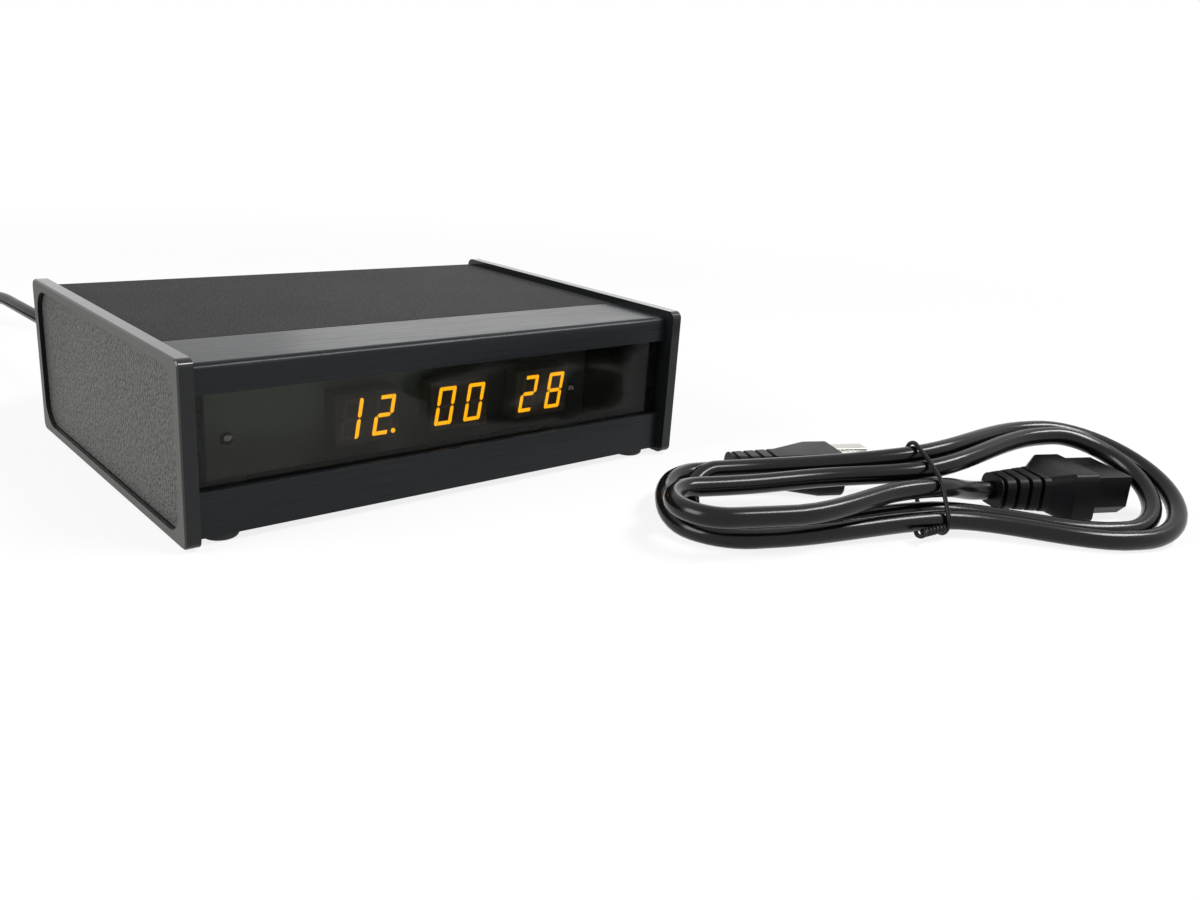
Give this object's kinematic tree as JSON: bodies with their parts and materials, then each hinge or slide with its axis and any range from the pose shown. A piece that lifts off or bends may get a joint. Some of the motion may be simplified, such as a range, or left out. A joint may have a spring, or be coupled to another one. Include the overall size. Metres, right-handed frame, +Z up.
{
  "type": "time code display",
  "caption": "Desktop time code display in a low black case with a smoked window, amber digits, rear jacks, a mains lead and a tied spare lead",
  "frame": {"origin": "on the table under the middle of the case with its rear fittings, leads left out", "axes": "+X to the right seen from the front, +Y to the rear, +Z up"},
  "size_m": [0.4364, 0.6038, 0.061],
  "materials": {
    "cap_plastic": "fine moulded grain on the sides, glossy edges",
    "panel_plastic": "coarse pebble grain",
    "black_anodised": "black anodised, brushed along its length",
    "cover_paint": "fine matte grain",
    "smoked_acrylic": "clear dark smoked sheet",
    "steel": "zinc plated",
    "rubber": "matte",
    "circuit_board": "green solder mask",
    "display_body": "satin brownish face",
    "lit_amber": "glowing amber",
    "unlit_amber": "unlit segment",
    "black_moulding": "satin",
    "ribbon_grey": "satin",
    "capacitor_sleeve": "shrink sleeve",
    "black_aluminium": "black anodised",
    "lamination_steel": "stacked laminations",
    "winding_tape": "yellow-brown wrapping tape",
    "nickel": "nickel plated",
    "fuse_glass": "clear tube with metal ends",
    "lead_jacket": "smooth satin jacket",
    "tie_wire": "coated wire"
  },
  "bodies": {
    "case": {"left_end_cap": "cap_plastic", "right_end_cap": "cap_plastic", "left_end_panel": "panel_plastic", "right_end_panel": "panel_plastic", "end_cap_screws": "steel", "front_top_rail": "black_anodised", "front_bottom_rail": "black_anodised", "rear_top_rail": "black_anodised", "rear_bottom_rail": "black_anodised", "top_cover": "cover_paint", "bottom_cover": "cover_paint", "smoked_window": "smoked_acrylic", "rear_panel": "cover_paint", "rubber_feet": "rubber", "display_board": "circuit_board", "display_brackets": "steel", "display_screws": "steel", "hours_module": "display_body", "minutes_module": "display_body", "seconds_module": "display_body", "lit_segments": "lit_amber", "unlit_segments": "unlit_amber", "ribbon_headers": "black_moulding", "ribbon_cable": "ribbon_grey", "main_board": "circuit_board", "board_standoffs": "steel", "board_screws": "steel", "logic_chips": "black_moulding", "filter_capacitor": "capacitor_sleeve", "regulator": "black_moulding", "heat_sink": "black_aluminium", "transformer_core": "lamination_steel", "transformer_winding": "winding_tape", "mains_inlet": "black_moulding", "inlet_pins": "nickel", "switch_housing": "black_moulding", "fuse_holder": "black_moulding", "brightness_control": "steel", "code_input_jack": "nickel", "code_loop_jack": "nickel", "panel_nuts": "steel", "lead_connector": "lead_jacket", "lead_stretch": "lead_jacket", "lead_coil": "lead_jacket", "lead_tie": "tie_wire", "lead_plug": "lead_jacket", "lead_blades": "nickel", "spare_hank": "lead_jacket", "spare_connector": "lead_jacket", "spare_plug": "lead_jacket", "spare_blades": "nickel", "spare_tie": "tie_wire"},
    "rocker": {"switch_rocker": "black_moulding"},
    "fuse_drawer": {"fuse_cap": "black_moulding", "fuse_link": "fuse_glass"},
    "knob": {"brightness_knob": "black_moulding", "brightness_shaft": "steel"}
  },
  "joints": [
    {"name": "switch_rocker", "type": "hinge", "parent": "case", "child": "rocker", "pos_m": [-0.044, 0.063, 0.026], "axis": [0, 0, 1], "range_deg": [-18, 0]},
    {"name": "fuse_cap_turn", "type": "hinge", "parent": "case", "child": "fuse_drawer", "pos_m": [-0.018, 0.064, 0.026], "axis": [0, 1, 0], "range_deg": [0, 60]},
    {"name": "brightness_turn", "type": "hinge", "parent": "case", "child": "knob", "pos_m": [0.013, 0.064, 0.026], "axis": [0, 1, 0], "range_deg": [-140, 140]}
  ]
}
